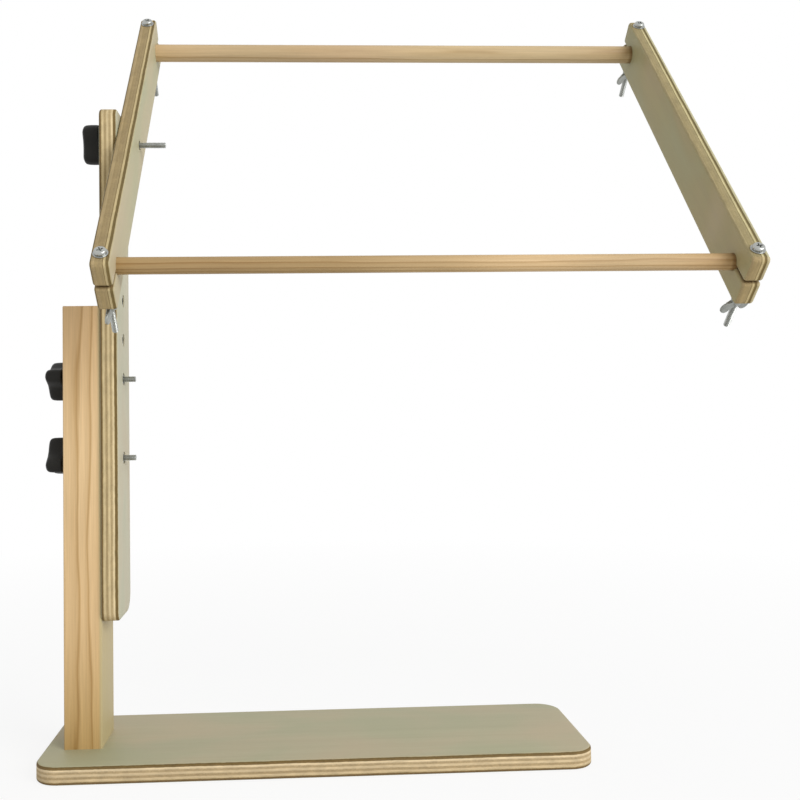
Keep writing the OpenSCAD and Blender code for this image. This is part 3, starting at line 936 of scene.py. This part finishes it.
knobModel = makeKnob()
washerModel = makeWasher(*knob["washer"])
for use in ("tilt", "upper_height", "lower_height"):
    face, height, turn, reach = knob[use]
    seat = face - contactGap
    foot = seat - knob["washer"][2]
    outwards = turned(-90, "Y")
    knobPlace = moved(foot, 0, height) @ turned(turn, "X") @ outwards
    washerPlace = moved(seat, 0, height) @ outwards
    studPlace = moved(foot - knob["studInside"], 0, height) @ turned(90, "Y")
    finishPiece(copyPiece(knobModel), use + "_knob", knobPlace, blackPlastic)
    finishPiece(copyPiece(washerModel), use + "_washer", washerPlace, zincPlate)
    studPiece = makeThread(reach + knob["studInside"])
    finishPiece(studPiece, use + "_stud", studPlace, threadZinc)
for model in (knobModel, washerModel):
    bpy.data.objects.remove(model)
print("knobs and studs ready")

insert = {
    "length": 12 * mm,
    "barrel": 4.5 * mm,
    "footEased": 0.5 * mm,
    "flange": 6.5 * mm,
    "flangeThick": 1.0 * mm,
    "flangeEased": 0.35 * mm,
    "sleeve": 5.0 * mm,
    "bore": 3.05 * mm,
    "socket": 4 * mm,
    "socketDepth": 2 * mm,
    "sunk": 0.8 * mm,
}


def makeInsert(barrel, flange):
    # its outer face lies on Z = 0 and it runs down from there
    length = insert["length"]
    piece = makeCylinder(barrel, length, 48, (0, 0, -length / 2))
    pick(piece, "EDGE", edgesAt(-length))
    bevelPicked(insert["footEased"], 2)
    if flange > barrel:
        thick = insert["flangeThick"]
        disc = makeCylinder(flange, thick, 48, (0, 0, -thick / 2))
        bevelRims(disc, facing(2, 1), insert["flangeEased"])
        combine(piece, [disc], "UNION")
    bore = makeCylinder(insert["bore"], 3 * length, 32)
    socket = makeCylinder(insert["socket"], 2 * insert["socketDepth"], 6)
    combine(piece, [bore, socket], "DIFFERENCE", crossing=True)
    smoothShade(piece)
    return piece


armRight = arm["middle"][0] + arm["size"][2] / 2
insertModel = makeInsert(insert["barrel"], insert["flange"])
rowOfInserts = []
for height in arm["insertHeights"]:
    twin = copyPiece(insertModel)
    settle(twin, moved(armRight - insert["sunk"], 0, height) @ turned(90, "Y"))
    rowOfInserts.append(twin)
bpy.data.objects.remove(insertModel)
finishPiece(joinPieces(rowOfInserts), "arm_inserts", None, zincPlate)
leftBarInside = bar["middles"]["left"] + bar["size"][2] / 2
tiltInsertPlace = workFrame @ moved(leftBarInside - insert["sunk"], 0, 0) @ turned(90, "Y")
finishPiece(makeInsert(insert["sleeve"], insert["sleeve"]), "tilt_insert", tiltInsertPlace, zincPlate)
print("inserts ready")

clamp = {
    "fromPivot": bar["size"][0] / 2 - bar["screwFromEnd"],
    "halfBar": bar["size"][1] / 2,
    "washer": (7 * mm, 3.3 * mm, 1.2 * mm, 0.25 * mm),
    "screwLength": 95 * mm,
    "threadInHead": 1 * mm,
    "headRadius": 5.8 * mm,
    "headHeight": 3.8 * mm,
    "headShoulder": 2.3 * mm,
    "headSeatEased": 0.3 * mm,
    "recess": (6.0 * mm, 1.25 * mm, 2.0 * mm),  # span, width and depth of the cross
    "recessCone": (0.4 * mm, 2.0 * mm),  # radii of its middle at the bottom and the top
    "nutHeight": 8 * mm,
    "hubRadii": (6.0 * mm, 4.6 * mm),
    "hubBevel": 0.7 * mm,
    "earRadius": 5.6 * mm,
    "earAt": (10.4 * mm, 11.4 * mm),
    "earEased": 0.8 * mm,
    "wingThick": 2.6 * mm,
    "webSize": (9.5 * mm, 9.0 * mm),
    "webAt": (6.2 * mm, 6.6 * mm),
    "webRise": 3.2 * mm,
    "webRoot": (1, 2.0, 0.9),  # the web's scale where it leaves the hub
    "webRootHeight": 5.0 * mm,
    "footCut": 0.12 * mm,  # cut flat from the softened foot
    "bore": 3.05 * mm,
    "boreEased": 0.5 * mm,
    "detail": 0.34 * mm,
    # turn of the recess and of the wings about each screw, in degrees
    "turns": {"left_front": (28, 78), "left_back": (62, 84), "right_front": (8, 18), "right_back": (47, 35)},
}


def makeClampScrew():
    # its seat lies on Z = 0 with the thread below
    inHead = clamp["threadInHead"]
    piece = makeThread(clamp["screwLength"] + inHead)
    settle(piece, moved(0, 0, inHead) @ turned(180, "X"))
    height = clamp["headHeight"]
    head = makeCylinder(clamp["headRadius"], height, 64, (0, 0, height / 2))
    bevelRims(head, facing(2, 1), clamp["headShoulder"], 7, profile=0.55)
    pick(head, "EDGE", edgesAt(0))
    bevelPicked(clamp["headSeatEased"], 2)
    combine(piece, [head], "UNION")
    span, width, depth = clamp["recess"]
    cross = [makeBlock((long, wide, 2 * depth), (0, 0, height))
             for long, wide in ((span, width), (width, span))]
    cross.append(makeCone(*clamp["recessCone"], depth + 1 * mm, 32, (0, 0, height - depth / 2 + 0.1 * mm)))
    combine(piece, cross, "DIFFERENCE", crossing=True)
    smoothShade(piece, 35)
    return piece


def makeWingNut():
    # its foot stands on Z = 0 and its wings lie along X
    thick, tall = clamp["wingThick"], clamp["nutHeight"]
    piece = makeCone(*clamp["hubRadii"], tall, 64, (0, 0, tall / 2))
    bevelRims(piece, facing(2, 0), clamp["hubBevel"])
    earX, earZ = clamp["earAt"]
    webLong, webTall = clamp["webSize"]
    webX, webZ = clamp["webAt"]
    wings = []
    for side in (-1, 1):
        ear = makeCylinder(clamp["earRadius"], thick, 48, (side * earX, 0, earZ), laidAlongY)
        bevelRims(ear, facing(1, 0), clamp["earEased"])
        # a web from the hub's side up to the ear, thicker where it leaves the hub
        web = makeBlock((webLong, thick, webTall), (side * webX, 0, webZ))
        pick(web, "FACE", facing(0, side))
        bpy.ops.transform.translate(value=(0, 0, clamp["webRise"]))
        pick(web, "FACE", facing(0, -side))
        bpy.ops.transform.resize(value=clamp["webRoot"], center_override=(0, 0, clamp["webRootHeight"]))
        wings += [ear, web]
    piece = joinPieces([piece] + wings)
    modify(piece, "REMESH", mode="VOXEL", voxel_size=clamp["detail"])
    modify(piece, "SMOOTH", factor=0.5, iterations=7)
    modify(piece, "DECIMATE", ratio=0.35)
    blank = makeBlock((60 * mm, 60 * mm, 40 * mm), (0, 0, 20 * mm + clamp["footCut"]))
    combine(piece, [blank], "INTERSECT")
    settle(piece, moved(0, 0, -clamp["footCut"]))
    combine(piece, [makeDrill(clamp["bore"], tall, clamp["boreEased"], (0, 0, tall / 2))], "DIFFERENCE")
    smoothShade(piece, 50)
    return piece


screwModel = makeClampScrew()
nutModel = makeWingNut()
flatWasher = makeWasher(*clamp["washer"])
seat = clamp["halfBar"] + clamp["washer"][2]
hanging = turned(180, "X")  # turns a piece over, so that it hangs below the bar
for corner, (recessTurn, wingTurn) in clamp["turns"].items():
    side, end = corner.split("_")
    slope = clamp["fromPivot"] * (1 if end == "back" else -1)
    screwLine = workFrame @ moved(bar["middles"][side], slope, 0)
    overBar = screwLine @ moved(0, 0, clamp["halfBar"])
    underBar = screwLine @ moved(0, 0, -clamp["halfBar"]) @ hanging
    screwPlace = screwLine @ moved(0, 0, seat) @ turned(recessTurn, "Z")
    nutPlace = screwLine @ moved(0, 0, -seat - contactGap) @ turned(wingTurn, "Z") @ hanging
    finishPiece(copyPiece(screwModel), corner + "_clamp_screw", screwPlace, threadZinc)
    finishPiece(copyPiece(flatWasher), corner + "_head_washer", overBar, zincPlate)
    finishPiece(copyPiece(flatWasher), corner + "_nut_washer", underBar, zincPlate)
    finishPiece(copyPiece(nutModel), corner + "_wing_nut", nutPlace, castZinc)
for model in (screwModel, nutModel, flatWasher):
    bpy.data.objects.remove(model)
print("clamps ready")

# Camera and light
camera = {
    "place": (-16.09 * mm, -1036.98 * mm, 351.45 * mm),
    "yaw": 2.716,  # degrees, as the next two
    "pitch": 2.011,
    "roll": -0.799,
    "lens": 44.18,
    "shift": (0.0715, -0.028),
}


def makeCamera():
    yaw, pitch, roll = (math.radians(camera[k]) for k in ("yaw", "pitch", "roll"))
    ahead = Vector((math.sin(yaw) * math.cos(pitch), math.cos(yaw) * math.cos(pitch), math.sin(pitch)))
    right = ahead.cross(Vector((0, 0, 1))).normalized()
    up = right.cross(ahead)
    turnedRight = math.cos(roll) * right + math.sin(roll) * up
    turnedUp = -math.sin(roll) * right + math.cos(roll) * up
    lensData = bpy.data.cameras.new("viewpoint")
    lensData.sensor_width = 36
    lensData.lens = camera["lens"]
    lensData.shift_x, lensData.shift_y = camera["shift"]
    lensData.clip_start = 0.01
    lensData.clip_end = 50
    viewpoint = bpy.data.objects.new("viewpoint", lensData)
    bpy.context.scene.collection.objects.link(viewpoint)
    turn = Matrix((turnedRight, turnedUp, -ahead)).transposed()
    viewpoint.matrix_world = moved(*camera["place"]) @ turn.to_4x4()
    bpy.context.scene.camera = viewpoint


studio = {
    "lampPlace": (3.7, -4.08, 2.92),
    "lampAim": (0.1, 0, 0.4),
    "lampSize": 3.6,
    "lampPower": 248,
    "ambient": 0.55,
    "floorSize": 12,
    "floorSunk": 0.2 * mm,
    "floorColour": (0.86, 0.86, 0.85, 1),
    # near the stand the floor keeps some of its own shade, further out it is plain white
    "fadeFrom": 0.4,
    "fadeTo": 1.7,
    "whiteNear": 0.86,
}


def makeLamp():
    lampData = bpy.data.lights.new("keyLamp", "AREA")
    lampData.shape = "SQUARE"
    lampData.size = studio["lampSize"]
    lampData.energy = studio["lampPower"]
    lamp = bpy.data.objects.new("keyLamp", lampData)
    bpy.context.scene.collection.objects.link(lamp)
    direction = Vector(studio["lampAim"]) - Vector(studio["lampPlace"])
    aim = direction.to_track_quat("-Z", "Y").to_matrix().to_4x4()
    lamp.matrix_world = moved(*studio["lampPlace"]) @ aim


def seenRays(tree):
    # 1 where the camera, a reflection or a transmission looks, 0 where light is gathered
    path = tree.nodes.new("ShaderNodeLightPath").outputs
    mirrored = maths(tree, "MAXIMUM", path["Is Glossy Ray"], path["Is Transmission Ray"])
    return maths(tree, "MAXIMUM", path["Is Camera Ray"], mirrored)


def makeWorld():
    world = bpy.data.worlds.new("studio")
    bpy.context.scene.world = world
    world.use_nodes = True
    tree = world.node_tree
    tree.nodes.clear()
    strength = rescale(tree, seenRays(tree), 0.0, 1.0, studio["ambient"], 1.0)
    glow = addNode(tree, "ShaderNodeBackground", {"Color": (1, 1, 1, 1), "Strength": strength})
    output = tree.nodes.new("ShaderNodeOutputWorld")
    tree.links.new(glow.outputs[0], output.inputs[0])


def makeFloor():
    dropSelection()
    bpy.ops.mesh.primitive_plane_add(size=studio["floorSize"], location=(0, 0, -studio["floorSunk"]))
    floor = bpy.context.object
    floor.name = "floor"
    material, tree, shader = newMaterial("paleFloor")
    shader.inputs["Base Color"].default_value = studio["floorColour"]
    shader.inputs["Roughness"].default_value = 0.9
    shader.inputs["Specular IOR Level"].default_value = 0.1
    away = lengthOf(tree, objectPlace(tree))
    whiteShare = rescale(tree, away, studio["fadeFrom"], studio["fadeTo"], studio["whiteNear"], 1.0)
    share = maths(tree, "MULTIPLY", seenRays(tree), whiteShare)
    white = addNode(tree, "ShaderNodeEmission", {"Color": (1, 1, 1, 1), "Strength": 1.0})
    mixed = addNode(tree, "ShaderNodeMixShader", {0: share, 1: shader.outputs[0], 2: white.outputs[0]})
    tree.links.new(mixed.outputs[0], tree.nodes["Material Output"].inputs[0])
    floor.data.materials.append(material)


makeCamera()
makeLamp()
makeWorld()
makeFloor()
bpy.context.scene.view_settings.view_transform = "Standard"

# The two wood screws under the base keep the frame's own meshes
for nodeName in ("base_screw_front", "base_screw_back"):
    node = frame["nodes"][nodeName]
    node.data.materials.clear()
    node.data.materials.append(zincPlate)

print("scene ready")
